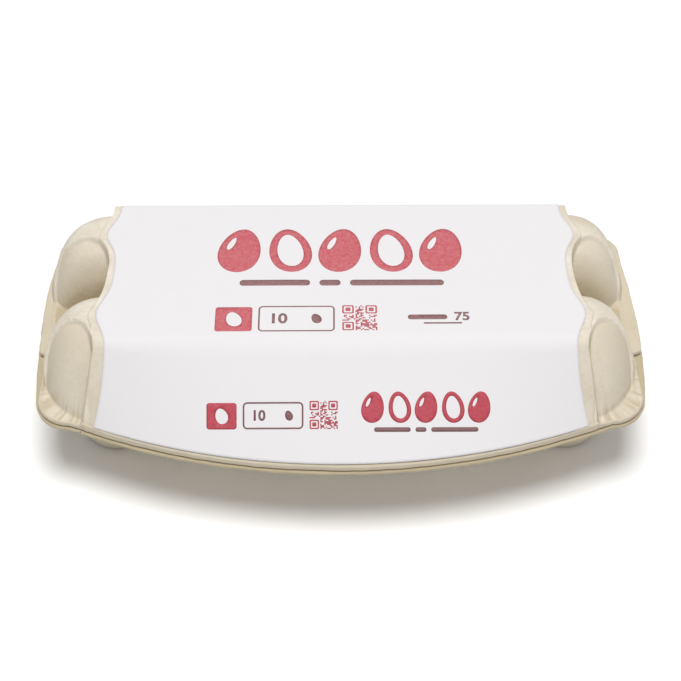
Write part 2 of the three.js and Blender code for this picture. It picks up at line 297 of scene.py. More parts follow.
# Recycled paper pulp, sucked onto a wire mould and dried: matt and warm grey-beige, clouded,
# with short fibres lying every way, a few dark specks of old print and a furry fine grain.
# Pattern sizes are millimetres, and 1000 / size is how many cells lie along a metre.
pulp = {
    "light": "#E8E0D2", "dark": "#D8CEBC",
    "brown": "#BDAF93",     # where the pulp is thin, pressed or damp-marked, and painted shade in hollows, creases and under edges
    "fibre": "#B8A98D", "speck": "#857458",
    "cloud": 14.0,          # size of the clouds
    "mottle": 2.0, "mottleShare": 0.55, "mottleBump": 0.5,
    "tone": (0.6, 0.95),    # clouds and mottle together, from dark to light
    "fibreCell": 3.4,       # real fibres are thinner than a pixel, so these are drawn coarse
    "fibreWarp": 1.6, "fibreWidth": 0.022,
    "fibreShare": 0.3, "speckCell": 5.0,
    "speckCore": 0.03,      # the radius in cells where a speck starts to fade, and where it ends
    "speckEdge": 0.08,
    "speckFree": 0.84,      # share of the cells that hold no speck
    "speckShare": 0.55, "grainCell": 0.7, "bump": 0.25,
    "roughness": 0.95, "ior": 1.45, "specular": 0.3,
}


def mouldedPulp():
    material, tree = newMaterial("mouldedPaperPulp")
    place = addNode(tree, "TexCoord").outputs["Object"]
    cloud = addNode(
        tree, "TexNoise", None,
        {"Scale": 1000 / pulp["cloud"], "Detail": 4.0, "Roughness": 0.6}, {"Vector": place})
    mottle = addNode(
        tree, "TexNoise", None,
        {"Scale": 1000 / pulp["mottle"], "Detail": 3.0, "Roughness": 0.7}, {"Vector": place})
    both = addNode(
        tree, "Math", {"operation": "MULTIPLY_ADD"}, {1: pulp["mottleShare"]},
        {0: mottle.outputs["Fac"], 2: cloud.outputs["Fac"]})
    tone = addNode(
        tree, "MapRange", None,
        {"From Min": pulp["tone"][0], "From Max": pulp["tone"][1]}, {"Value": both.outputs[0]})
    base = addNode(
        tree, "Mix", {"data_type": "RGBA"},
        {"A": linear(pulp["dark"]), "B": linear(pulp["light"])}, {"Factor": tone.outputs["Result"]})
    # This attribute browns the pulp for real discolouring, and also paints shade into hollows, creases
    # and edges
    stainAndShade = addNode(tree, "Attribute", {"attribute_name": "stainAndShade"})
    patchy = addNode(
        tree, "Math", {"operation": "MULTIPLY"}, None, {0: stainAndShade.outputs["Fac"], 1: both.outputs[0]})
    stainedAndShaded = addNode(
        tree, "Mix", {"data_type": "RGBA"}, {"B": linear(pulp["brown"])},
        {"Factor": patchy.outputs[0], "A": base.outputs["Result"]})
    # Fibres are the thin lines where a warped noise crosses its middle value
    fibreNoise = addNode(
        tree, "TexNoise", None,
        {"Scale": 1000 / pulp["fibreCell"], "Detail": 1.0, "Distortion": pulp["fibreWarp"]},
        {"Vector": place})
    offMiddle = addNode(tree, "Math", {"operation": "SUBTRACT"}, {1: 0.5}, {0: fibreNoise.outputs["Fac"]})
    distance = addNode(tree, "Math", {"operation": "ABSOLUTE"}, None, {0: offMiddle.outputs[0]})
    fibreLine = addNode(
        tree, "MapRange", {"interpolation_type": "SMOOTHSTEP"},
        {"From Max": pulp["fibreWidth"], "To Min": pulp["fibreShare"], "To Max": 0.0},
        {"Value": distance.outputs[0]})
    fibreShare = addNode(
        tree, "Math", {"operation": "MULTIPLY"}, None,
        {0: fibreLine.outputs["Result"], 1: tone.outputs["Result"]})
    withFibres = addNode(
        tree, "Mix", {"data_type": "RGBA"}, {"B": linear(pulp["fibre"])},
        {"Factor": fibreShare.outputs[0], "A": stainedAndShaded.outputs["Result"]})
    # Specks sit in a few of the cells of a loose pattern
    cells = addNode(tree, "TexVoronoi", None, {"Scale": 1000 / pulp["speckCell"]}, {"Vector": place})
    speckDot = addNode(
        tree, "MapRange", None,
        {"From Min": pulp["speckCore"], "From Max": pulp["speckEdge"],
         "To Min": pulp["speckShare"], "To Max": 0.0},
        {"Value": cells.outputs["Distance"]})
    chosen = addNode(tree, "SeparateColor", None, None, {"Color": cells.outputs["Color"]})
    few = addNode(
        tree, "Math", {"operation": "GREATER_THAN"}, {1: pulp["speckFree"]}, {0: chosen.outputs["Red"]})
    speckShare = addNode(
        tree, "Math", {"operation": "MULTIPLY"}, None, {0: speckDot.outputs["Result"], 1: few.outputs[0]})
    colour = addNode(
        tree, "Mix", {"data_type": "RGBA"}, {"B": linear(pulp["speck"])},
        {"Factor": speckShare.outputs[0], "A": withFibres.outputs["Result"]})
    grain = addNode(
        tree, "TexNoise", None,
        {"Scale": 1000 / pulp["grainCell"], "Detail": 3.0, "Roughness": 0.65}, {"Vector": place})
    height = addNode(
        tree, "Math", {"operation": "MULTIPLY_ADD"}, {1: pulp["mottleBump"]},
        {0: mottle.outputs["Fac"], 2: grain.outputs["Fac"]})
    relief = addNode(
        tree, "Bump", None, {"Strength": 0.7, "Distance": pulp["bump"] * mm},
        {"Height": height.outputs[0]})
    shader = addNode(
        tree, "BsdfPrincipled", None,
        {"Roughness": pulp["roughness"], "IOR": pulp["ior"], "Specular IOR Level": pulp["specular"]},
        {"Base Color": colour.outputs["Result"], "Normal": relief.outputs["Normal"]})
    finish(tree, shader)
    return material


# Machine-coated label paper: smooth and satin, a hair cooler than white, with a faint cloudy formation
paper = {
    "light": "#E5E2E3", "dark": "#E1DFE1",
    "cloud": 9.0, "grainCell": 0.5, "bump": 0.1,
    "smoothest": 0.7, "roughest": 0.8,
    "ior": 1.5, "specular": 0.35,
}


def coatedPaper():
    material, tree = newMaterial("coatedLabelPaper")
    place = addNode(tree, "TexCoord").outputs["Object"]
    cloud = addNode(
        tree, "TexNoise", None,
        {"Scale": 1000 / paper["cloud"], "Detail": 5.0, "Roughness": 0.65}, {"Vector": place})
    colour = addNode(
        tree, "Mix", {"data_type": "RGBA"},
        {"A": linear(paper["dark"]), "B": linear(paper["light"])}, {"Factor": cloud.outputs["Fac"]})
    grain = addNode(
        tree, "TexNoise", None, {"Scale": 1000 / paper["grainCell"], "Detail": 2.0}, {"Vector": place})
    relief = addNode(
        tree, "Bump", None, {"Strength": 0.12, "Distance": paper["bump"] * mm},
        {"Height": grain.outputs["Fac"]})
    sheen = addNode(
        tree, "MapRange", None, {"To Min": paper["smoothest"], "To Max": paper["roughest"]},
        {"Value": cloud.outputs["Fac"]})
    shader = addNode(
        tree, "BsdfPrincipled", None, {"IOR": paper["ior"], "Specular IOR Level": paper["specular"]},
        {"Base Color": colour.outputs["Result"], "Roughness": sheen.outputs["Result"],
        "Normal": relief.outputs["Normal"]})
    finish(tree, shader)
    return material


# Water-based ink from a soft printing plate: matt, a little uneven, and thinner in spots
inkLook = {"spot": 1.4, "thinFrom": 0.35, "thinTo": 0.75, "roughness": 0.6, "ior": 1.5}


def printingInk(name, solid, thin):
    material, tree = newMaterial(name)
    place = addNode(tree, "TexCoord").outputs["Object"]
    cover = addNode(
        tree, "TexNoise", None,
        {"Scale": 1000 / inkLook["spot"], "Detail": 4.0, "Roughness": 0.7}, {"Vector": place})
    share = addNode(
        tree, "MapRange", None,
        {"From Min": inkLook["thinFrom"], "From Max": inkLook["thinTo"]}, {"Value": cover.outputs["Fac"]})
    colour = addNode(
        tree, "Mix", {"data_type": "RGBA"},
        {"A": linear(solid), "B": linear(thin)}, {"Factor": share.outputs["Result"]})
    shader = addNode(
        tree, "BsdfPrincipled", None, {"Roughness": inkLook["roughness"], "IOR": inkLook["ior"]},
        {"Base Color": colour.outputs["Result"]})
    finish(tree, shader)
    return material


pulpMaterial = mouldedPulp()
paperMaterial = coatedPaper()
print("materials made")

# The lid: a raised block under the label, a dome over the end egg of each row, and an oval
# pressed into the front of each dome
lid = {
    "ledge": 1.5,               # the tray's rim shows this far in front
    "sideLedge": 0.7, "edgeRound": 0.8, "roundSteps": 4,
    "shelfZ": 39.3, "panelZ": 71.35, "frontFoldY": -41.0,
    "backFoldY": 42.5, "footGap": 0.3, "backFootGap": 2.0,
    "foldSoft": 4.0, "backSoft": 3.0,
    "endSoft": 1.4, "endRise": 9.0,
    "margin": 3.0,              # pulp beside the label
    "frontHalf": 104.0,         # where the block's side meets the fold
    "sideSlant": 0.29,          # and how it spreads from there to the foot
    "slantFrom": 2.0,
    "widen": (-16, -26),        # where the front's width takes over from the label's
    "footHalf": 108.0, "shelfSoft": 1.3, "footSoft": 0.8,
    "softWiden": (98, 108),     # from the foot's softness to the shelf's
    "blockSoft": 3.0,
    "rimEvens": (105.0, 2.0),   # the rows stop following the folds from here to past the corner
    "underLabel": 0.15,         # how far the label presses the pulp down, and its soft edges
    "pressSoft": (1.5, 1.0),
    "columns": 350, "fineFrom": 97.0, "coarse": 0.2,
    "ragged": [(0.18, 5.0, 21), (0.1, 1.8, 22)],
    "edgeProfile": [(0.0, 1.0), (0.05, 0.45), (0.35, 0.1), (0.8, 0.0)],     # inwards and up
    "coreSink": 0.05,           # the core goes into the tray, so that no light shows between them
}
lidBands = {
    "edge": 2, "foot": 8, "front": 46, "fold": 12,
    "top": 118, "backFold": 8, "back": 30, "lip": 4,
}
footBand = 2.6
foldBand = 3.0
foldLines = [
    lid["frontFoldY"] - foldBand, lid["frontFoldY"] + foldBand,
    lid["backFoldY"] - foldBand, lid["backFoldY"] + foldBand / 2,
]
pulpLumps = [(0.13, 9.0, 11), (0.06, 3.5, 12), (0.04, 1.6, 13)]
domes = {
    "crownZ": 70.6, "baseZ": 38.5, "reachOut": 28.3,
    "reachIn": 22.0, "outPower": 3.6, "plan": 2.3,
    "soft": 2.2, "leftSpread": 1.6, "spreadTo": 124.0,
    "front": {
        "y": -25.0, "reachFront": 35.0, "reachBack": 26.0,
        "powerFront": 2.0, "powerBack": 3.6, "planFront": 1.85},
    "back": {
        "y": 25.0, "reachFront": 26.0, "reachBack": 30.0,
        "powerFront": 2.6, "powerBack": 3.2, "planFront": 2.3},
}
valley = {"rise": 6.0, "inner": 104.0, "outer": 126.0, "half": 17.0, "fade": 9.0}
ovals = {
    "innerPlan": 2.2,           # round beside the label, squarer at the carton's end
    "outerPlan": 4.6, "planChange": (-0.4, 0.5), "depth": 1.9,
    "soft": {"front": 1.0, "back": 0.6, "floor": 1.5},
    "sag": {"by": 4.0, "from": 17.0, "to": 7.0},        # the back oval's foot leans back,
    "pocket": {"by": 13.0, "from": 9.5, "to": 4.5},     # then drops behind the front dome
    "edge": 0.045,
    "front": {"x": 113.8, "y": -44.0, "halfX": 10.5, "halfBack": 18.0, "halfFront": 40.0},
    "back": {"x": 112.3, "y": 5.0, "halfX": 12.0, "halfBack": 18.5, "halfFront": 33.0},
}
# The line beside the label, where the mould's block ends
crease = {"depth": 0.9, "width": 0.65, "y": (-34, -42), "rise": (0.3, 2.0)}
# A bead's height is in millimetres, and its other values are shares of its oval
bead = {
    "height": 0.45, "width": 0.045, "past": 1.6,
    "side": (-0.3, 0.4), "top": (0.1, 0.7), "foot": (-0.4, -0.15),
}
# Streaks fan out from the front dome over the corner of the flange, where the pulp was drawn
streaks = {
    "x": 106, "y": -34, "perRadian": 20, "length": 11, "apart": 7, "seed": 14,
    "from": (15, 24), "frontOf": (-20, -34), "beyond": (103, 107), "relief": 0.16,
}
# Where the pulp is browner and by how much, partly real discolouring and partly painted shade in hollows,
# creases and edges. Each grows between the two places given.
stainAndShadeAmounts = {
    # flange and frontOval: partly browner pressed pulp, partly painted shade on the low shelf and the
    # front-facing ovals
    "flange": {"by": 0.7, "above": 6.0},
    "frontOval": {"by": 0.55, "y": (-56, -34)},
    # back oval: partly browner pulp, and painted shade that deepens in the pocket behind the front dome
    "backOval": {"by": 0.4, "paintedPocketShade": 1.6, "pocketY": (4, 15), "y": (-6, 2)},
    # valley: painted shade on the low floor between the domes
    "valley": {"by": 0.75, "y": (16, 4), "z": (62, 46)},
    "besideLabel": {"by": 0.32, "y": (-36, -46)},
    "backRight": {"by": 0.45, "x": (90, 102), "y": (24, 36)},
    # crease: painted shade along the line beside the label
    "streaks": 0.6, "crease": 0.9, "lidEdge": 0.65,
    # tray and trayRim: partly browner pulp, partly painted shade on the tray under the lid and on its rim
    # beneath the lid's edge
    "tray": 0.4, "trayRim": 1.5, "hinge": 0.5,
}
labelShape = {
    "halfX": 97.3, "backY": 45.6,
    "bulges": [{"y": -25.0, "reach": 5.4, "spread": 11.0}, {"y": 23.5, "reach": 5.0, "spread": 9.0}],
    "footFlare": 5.5, "flarePower": 1.8,
    "footGap": 1.15, "lift": 0.34,
    "loose": [(0.1, 28.0, 51), (0.04, 11.0, 52)],
    "thickness": 0.16,
}


def labelHalf(y):
    reach = 0.0
    for b in labelShape["bulges"]:
        reach = reach + np.where(b["y"] * y > 0, b["reach"] * hump(y, b["y"], b["spread"]), 0)
    return labelShape["halfX"] + reach


def panelTop(x, y):
    rise = lid["panelZ"] - lid["shelfZ"]
    foot = frontEdge(np.minimum(np.abs(x), lid["footHalf"])) + lid["ledge"] + lid["footGap"]
    backFoot = outline["backY"] - lid["backFootGap"]
    front = lid["shelfZ"] + rise * (y - foot) / (lid["frontFoldY"] - foot)
    back = lid["shelfZ"] + rise * (backFoot - y) / (backFoot - lid["backFoldY"])
    return softMin(softMin(front, lid["panelZ"], lid["foldSoft"]), back, lid["backSoft"])


def footSoftness(x):
    return mix(lid["footSoft"], lid["shelfSoft"], ease(*lid["softWiden"], np.abs(x)))


def sideSpread(y):
    return lid["sideSlant"] * np.maximum(0, lid["frontFoldY"] - lid["slantFrom"] - y)


def blockTop(x, y):
    frontHalf = (lid["frontHalf"] + sideSpread(y)) * ease(*lid["widen"], y)
    half = np.maximum(labelHalf(y) + lid["margin"], frontHalf)
    return softMin(panelTop(x, y), lid["panelZ"] + lid["endRise"] * (half - np.abs(x)), lid["endSoft"])


# Distance from the middle, less what the left end was pressed outwards
def endReach(x, y):
    a = np.abs(x)
    spread = (domes["leftSpread"] + pushAt(y)) * ease(endEggX, domes["spreadTo"], a)
    return a - np.where(x < 0, spread, 0)


def domeTop(x, y, dome):
    dx, dy = endReach(x, y) - endEggX, y - dome["y"]
    u = np.abs(dx) / np.where(dx > 0, domes["reachOut"], domes["reachIn"])
    v = np.abs(dy) / np.where(dy < 0, dome["reachFront"], dome["reachBack"])
    plan = np.where(dy < 0, dome["planFront"], domes["plan"])
    radius = (u ** plan + v ** plan) ** (1 / plan)
    sideways = u * u / (u * u + v * v + 1e-9)
    power = mix(np.where(dy < 0, dome["powerFront"], dome["powerBack"]), domes["outPower"], sideways)
    return domes["baseZ"] + (domes["crownZ"] - domes["baseZ"]) * (1 - radius ** power)


def ovalPlace(x, y, oval):
    off = y - oval["y"]
    u = (endReach(x, y) - oval["x"] - sideSpread(y)) / oval["halfX"]
    return u, off / np.where(off > 0, oval["halfBack"], oval["halfFront"])


def ovalRadius(x, y, oval):
    u, v = ovalPlace(x, y, oval)
    plan = mix(ovals["innerPlan"], ovals["outerPlan"], ease(*ovals["planChange"], u))
    return (np.abs(u) ** plan + np.abs(v) ** plan) ** (1 / plan)


def insideOval(x, y, oval):
    return ease(1 + ovals["edge"], 1 - ovals["edge"], ovalRadius(x, y, oval))


def lidTop(x, y):
    a = np.abs(x)
    front, back = domeTop(x, y, domes["front"]), domeTop(x, y, domes["back"])
    share = ease(valley["outer"], valley["inner"], a)
    share = share * ease(valley["half"] + valley["fade"], valley["half"], np.abs(y))
    floor = mix(lid["shelfZ"] - 2 * domes["soft"], lid["shelfZ"] + valley["rise"], share)
    rounded = softMax(softMax(front, back, domes["soft"]), floor, domes["soft"])
    z = np.minimum(lid["panelZ"], softMax(blockTop(x, y), rounded, lid["blockSoft"]))
    soft = ovals["soft"]
    frontFlat = softMax(front - ovals["depth"], domes["baseZ"], soft["front"])
    sunk = ovals["depth"]
    for drop in (ovals["sag"], ovals["pocket"]):
        sunk = sunk + drop["by"] * ease(drop["from"], drop["to"], y)
    backFlat = softMax(softMax(back - sunk, front, soft["back"]), lid["shelfZ"], soft["floor"])
    z = mix(z, np.minimum(z, frontFlat), insideOval(x, y, ovals["front"]))
    z = mix(z, np.minimum(z, backFlat), insideOval(x, y, ovals["back"]))
    return softMax(z, lid["shelfZ"], footSoftness(x))


# A low bead stands round the top and the outer side of each oval
def ovalBead(x, y):
    total = 0.0
    for oval in (ovals["front"], ovals["back"]):
        out, up = ovalPlace(x, y, oval)
        share = np.maximum(ease(*bead["side"], out), ease(*bead["top"], up)) * ease(*bead["foot"], up)
        ring = hump(ovalRadius(x, y, oval), 1 + bead["past"] * bead["width"], bead["width"])
        total = total + bead["height"] * share * ring
    return total


def sideCrease(x, y, z):
    line = ovals["front"]["x"] - ovals["front"]["halfX"] + sideSpread(y)
    low, high = crease["rise"]
    share = ease(*crease["y"], y) * ease(lid["shelfZ"] + low, lid["shelfZ"] + high, z)
    return share * hump(endReach(x, y), line, crease["width"])


def lidSurface(column):
    low = frontEdge(column) + lid["ledge"] + lid["edgeRound"]
    high = backEdge(column) - lid["edgeRound"]
    foot = low + lid["footGap"]
    backFoot = outline["backY"] - lid["backFootGap"] - lid["edgeRound"]
    y = bandedRows([low, foot, foot + footBand, *foldLines, backFoot, high], list(lidBands.values()))
    even = mix(low, high, np.linspace(0, 1, column.shape[1]))
    start, past = lid["rimEvens"]
    y = mix(y, even, ease(start, outline["cornerX"] + past, np.abs(column)))
    inset = (lid["sideLedge"] + lid["edgeRound"]) / outline["halfLength"]
    x = column * (1 - inset) + endBend(column, y, True)
    return np.stack([x, y, lidTop(x, y)], -1)


def cornerStreaks(x, y):
    dx, dy = np.abs(x) - streaks["x"], y - streaks["y"]
    away = np.hypot(dx, dy)
    turn = np.arctan2(dy, dx) * streaks["perRadian"]
    spoke = np.stack([turn, away / streaks["length"], np.sign(x) * streaks["apart"]], -1)
    where = ease(*streaks["from"], away) * ease(*streaks["frontOf"], y)
    where = where * ease(*streaks["beyond"], np.abs(x))
    return where * lumps(spoke, 1.0, streaks["seed"])


# Browner pulp over the lid: partly real discolouring, partly painted shade in the back oval's pocket, the
# valley, and on the ovals and flange
def lidStainAndShade(x, y, z):
    front, back, paintedValleyShade = stainAndShadeAmounts["frontOval"], stainAndShadeAmounts["backOval"], stainAndShadeAmounts["valley"]
    beside, right = stainAndShadeAmounts["besideLabel"], stainAndShadeAmounts["backRight"]
    # painted shade: the back oval darkens steeply towards its foot, where it drops behind the front dome
    pocket = mix(back["paintedPocketShade"], back["by"], ease(*back["pocketY"], y))
    return np.maximum.reduce([
        # partly painted shade on the flange and the front ovals, partly browner pressed pulp
        stainAndShadeAmounts["flange"]["by"] * ease(lid["shelfZ"] + stainAndShadeAmounts["flange"]["above"], lid["shelfZ"], z),
        insideOval(x, y, ovals["front"]) * front["by"] * ease(*front["y"], y),
        insideOval(x, y, ovals["back"]) * pocket * ease(*back["y"], y),
        # painted shade on the valley floor between the domes
        paintedValleyShade["by"] * ease(*paintedValleyShade["y"], np.abs(y)) * ease(*paintedValleyShade["z"], z),
        beside["by"] * ease(*beside["y"], y),
        right["by"] * ease(*right["x"], x) * ease(*right["y"], y),
    ])


def makeLid():
    rows = sum(lidBands.values()) + 1
    grid = lidSurface(spacedColumns(lidSurface, lid["columns"], rows, lid["fineFrom"], lid["coarse"]))
    x, y, z = grid[..., 0], grid[..., 1], grid[..., 2]
    sideSoft, backSoft = lid["pressSoft"]
    pressed = ease(sideSoft, -sideSoft, np.abs(x) - labelHalf(y))
    pressed = pressed * ease(labelShape["backY"] + backSoft, labelShape["backY"] - backSoft, y)
    folded, drawn = sideCrease(x, y, z), cornerStreaks(x, y)
    relief = layered(grid, pulpLumps) + ovalBead(x, y)
    relief = relief - crease["depth"] * folded + streaks["relief"] * drawn
    relief = relief * (1 - pressed) - lid["underLabel"] * pressed
    # The crease's share is painted shade along the line beside the label
    stainAndShade = lidStainAndShade(x, y, z) - stainAndShadeAmounts["streaks"] * drawn + stainAndShadeAmounts["crease"] * folded
    grid = grid + normals(grid) * relief[..., None]
    rim = grid.reshape(-1, 3)[gridRim(*grid.shape[:2])]
    underside = outline["partingZ"] + outline["halfGap"]
    rings = edgeRings(rim, lid, rim[:, 2], -1, underside)
    inner = rim + outward(rim) * (lid["edgeRound"] - outline["gapDepth"])
    inner[:, 2] = underside
    core = inner.copy()
    core[:, 2] = outline["partingZ"] - outline["halfGap"] - lid["coreSink"]
    rings += [inner, core]
    points, faces = closedBody(grid, rings)
    # The lid's edge, underside and core get one brown share: partly a browner trimmed edge, partly
    # painted shade on the upright edge
    stainAndShade = np.append(stainAndShade.ravel(), np.full(len(points) - stainAndShade.size, stainAndShadeAmounts["lidEdge"]))
    piece = makePiece("lid", points, faces, pulpMaterial, stainAndShade)
    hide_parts("carton")


makeLid()
print("lid made")

# The tray: ten cups joined by webs, under a flat rim that is bulged out at the front
tray = {
    "rimBottom": 34.6,
    "frontInset": 1.0,          # the rim's soft front edge stands back this far
    "footRadius": 13.0, "footRound": 1.9, "footBlend": 0.6,
    "mouthRadius": 24.3, "cupHeight": 35.4, "cupCurve": 1.45,
    "pastMouth": 6.0,           # how steeply the walls go on above the mouth, out of the way
    "webEnds": 3.0,             # and the webs at their ends
    "webBottom": 19.0, "webTop": 35.2, "webHalfBottom": 2.5,
    "webHalfTop": 11.0, "soft": 2.5, "apronDrop": 12.0,
    "apronLip": 5.0, "apronBackY": -30.0, "apronFade": 9.0,
    "apronInner": 96.0, "apronOuter": 114.0,
    "edgeRound": 0.8, "roundSteps": 3,
    "level": (0.05, 2.5),       # the lumps fade out towards the flat feet
    "columns": 400, "rows": 220,
    "ragged": [(0.18, 6.0, 31), (0.1, 2.0, 32)],
    "edgeProfile": [(0.0, 0.7), (0.12, 0.3), (0.5, 0.05), (1.2, 0.0)],      # inwards and down
    "topInset": 5.0,
}


def trayBottom(x, y):
    column = np.clip(np.round((x + endEggX) / eggs["pitch"]), 0, eggs["perRow"] - 1)
    eggX = column * eggs["pitch"] - endEggX
    radius = np.hypot(x - eggX, np.abs(y) - eggs["rowY"])
    wall = tray["mouthRadius"] - tray["footRadius"] - tray["footRound"]
    inward = np.clip((tray["mouthRadius"] - radius) / wall, 0, 1)
    cup = mix(tray["footRound"] / 2, tray["cupHeight"], 1 - inward ** (1 / tray["cupCurve"]))
    foot = tray["footRadius"]
    cup = cup * ease(foot - tray["footBlend"], foot + tray["footRound"], radius)
    cup = cup + tray["pastMouth"] * np.maximum(0, radius - tray["mouthRadius"])
    slope = (tray["webTop"] - tray["webBottom"]) / (tray["webHalfTop"] - tray["webHalfBottom"])
    fromRow = np.hypot(np.abs(y) - eggs["rowY"], tray["webEnds"] * np.maximum(0, np.abs(x) - endEggX))
    fromColumn = np.hypot(x - eggX, tray["webEnds"] * np.maximum(0, np.abs(y) - eggs["rowY"]))
    fromWeb = np.maximum(0, np.minimum(fromRow, fromColumn) - tray["webHalfBottom"])
    web = tray["webBottom"] + slope * fromWeb
    low = frontEdge(x) + tray["apronLip"]
    drop = tray["apronDrop"] * ease(low, tray["apronBackY"], y)
    drop = drop * ease(tray["apronOuter"], tray["apronInner"], np.abs(x))
    drop = drop * ease(tray["apronBackY"] + tray["apronFade"], tray["apronBackY"], y)
    under = softMin(tray["rimBottom"] - drop, web, tray["soft"])
    return softMin(cup, under, tray["soft"])


def traySurface(column):
    low = frontEdge(column) + tray["edgeRound"] + tray["frontInset"]
    high = backEdge(column) - tray["edgeRound"]
    y = mix(low, high, np.linspace(0, 1, column.shape[1]))
    x = column * (1 - tray["edgeRound"] / outline["halfLength"]) + endBend(column, y, False)
    return np.stack([x, y, trayBottom(x, y)], -1)


def makeTray():
    grid = traySurface(spacedColumns(traySurface, tray["columns"], tray["rows"]))
    relief = layered(grid, pulpLumps) * ease(*tray["level"], grid[..., 2])
    grid = grid - normals(grid) * relief[..., None]
    rim = grid.reshape(-1, 3)[gridRim(*grid.shape[:2])]
    top = outline["partingZ"] - outline["halfGap"]
    rings = edgeRings(rim, tray, tray["rimBottom"], 1, top)
    inner = rim + outward(rim) * (tray["edgeRound"] - tray["topInset"])
    inner[:, 2] = top
    rings.append(inner)
    points, faces = closedBody(grid, rings, facesDown=True)
    # The rim and its edges are darkened: partly browner pulp, partly painted shade beneath the lid's edge
    stainAndShade = np.full(len(points), stainAndShadeAmounts["trayRim"])
    stainAndShade[:grid[..., 0].size] = stainAndShadeAmounts["tray"]
    piece = makePiece("tray", points, faces, pulpMaterial, stainAndShade)
    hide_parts("carton")


makeTray()
print("tray made")

# The hinge: a strip of the same pulp, creased along its middle where it folds
hinge = {
    "halfLength": 97.0, "halfDepth": 2.2, "halfHeight": 2.7,
    "crease": 0.5, "creaseWidth": 0.28,
    "taper": 14,                # the ends round off over this share of the half length
    "endDepth": 0.6, "endHeight": 0.7,
    "steps": 160, "sides": 28,
    "lumps": [(0.12, 5.0, 41), (0.06, 2.0, 42)],
}


def makeHinge():
    along = np.linspace(-1, 1, hinge["steps"])
    turn = np.linspace(0, 2 * math.pi, hinge["sides"], endpoint=False)
    taper = np.minimum(1, np.sqrt((1 - np.abs(along)) * hinge["taper"]))[:, None]
    folded = hump(np.sin(turn), 0, hinge["creaseWidth"]) * (np.cos(turn) > 0)
    depth = hinge["halfDepth"] - hinge["crease"] * folded
    y = outline["backY"] + depth * np.cos(turn) * mix(hinge["endDepth"], 1, taper)
    z = outline["partingZ"] + hinge["halfHeight"] * np.sin(turn) * mix(hinge["endHeight"], 1, taper)
    x = np.broadcast_to(along[:, None] * hinge["halfLength"], y.shape)
    points = np.stack([x, y, z], -1)
    points[..., 1] += layered(points, hinge["lumps"]) * np.cos(turn)
    points = points.reshape(-1, 3)
    n = hinge["sides"]
    faces = []
    for i in range(hinge["steps"] - 1):
        near = i * n + np.arange(n)
        far = near + n
        faces += list(zip(near, np.roll(near, -1), np.roll(far, -1), far))
    faces.append(tuple(range(n))[::-1])
    faces.append(tuple((hinge["steps"] - 1) * n + k for k in range(n)))
    piece = makePiece("hinge", points, faces, pulpMaterial, np.full(len(points), stainAndShadeAmounts["hinge"]))
    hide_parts("carton")


makeHinge()
print("hinge made")

# The label: one sheet over the top, down the front panel and over the back edge
labelBands = {"front": 40, "fold": 12, "top": 60, "backFold": 8, "back": 6}
labelColumns = 150


def labelPlace(x, y, lift):
    def surface(at):
        return softMax(panelTop(x, at), lid["shelfZ"], footSoftness(x))
    reach = 0.05
    slope = (surface(y + reach) - surface(y - reach)) / (2 * reach)
    length = np.hypot(1, slope)
    flat = np.stack([x, y, np.zeros_like(x)], -1)
    rise = labelShape["lift"] + layered(flat, labelShape["loose"]) + lift
    return np.stack([x, y - rise * slope / length, surface(y) + rise / length], -1)


def labelLines(x):
    foot = frontEdge(x) + lid["ledge"] + labelShape["footGap"]
    return bandedRows([foot, *foldLines, labelShape["backY"]], list(labelBands.values()))


def makeLabel():
    rows = sum(labelBands.values()) + 1
    across = np.linspace(-1, 1, labelColumns)[:, None] * np.ones(rows)
    lines = labelLines(across * labelShape["halfX"])
    down = np.clip((lid["frontFoldY"] - lines) / (lid["frontFoldY"] - lines[:, :1]), 0, 1)
    half = labelHalf(np.maximum(lines, lid["frontFoldY"]))
    half = half + labelShape["footFlare"] * down ** labelShape["flarePower"]
    x = across * half
    y = labelLines(x)
    upper = labelPlace(x, y, labelShape["thickness"] / 2)
    lower = labelPlace(x, y, -labelShape["thickness"] / 2)
    rim = gridRim(labelColumns, rows)
    count = labelColumns * rows
    faces = [tuple(f) for f in gridFaces(labelColumns, rows)]
    faces += [tuple(f[::-1] + count) for f in gridFaces(labelColumns, rows)]
    faces += [(a, a + count, b + count, b) for a, b in zip(rim, np.roll(rim, -1))]
    points = np.concatenate([upper.reshape(-1, 3), lower.reshape(-1, 3)])
    piece = makePiece("labelSheet", points, faces, paperMaterial)
    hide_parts("label")


makeLabel()
print("label made")

# The print is plain: a row of full and outlined eggs over bars, a badge, a box that says ten,
# a block of squares and a weight. Each spot of ink is a thin closed film on the paper.
# Places are X and the height up the panel.
ink = {
    "above": 0.03, "below": 0.06, "step": 1.6,
    "line": 0.7, "corner": 1.2, "boxCorner": 1.9,
    "barRound": 2.2,            # a bar's height over the radius of its ends
    "arcSteps": 6,
    "bolder": 0.03,             # added round the typeface's digits, as a share of their size
}
# Sizes and places within an egg, a badge or a box, as shares of its own size
eggMark = {"points": 56, "taper": 0.14}
shine = {"left": 0.2, "up": 0.16, "width": 0.14, "height": 0.3, "tilt": -24}
badgeEgg = {"width": 0.4, "height": 0.6, "tilt": 20}
boxEgg = {"x": 0.76, "width": 0.28, "height": 0.38, "tilt": 20}
boxNumber = {"x": 0.18, "y": 0.31, "height": 0.4}
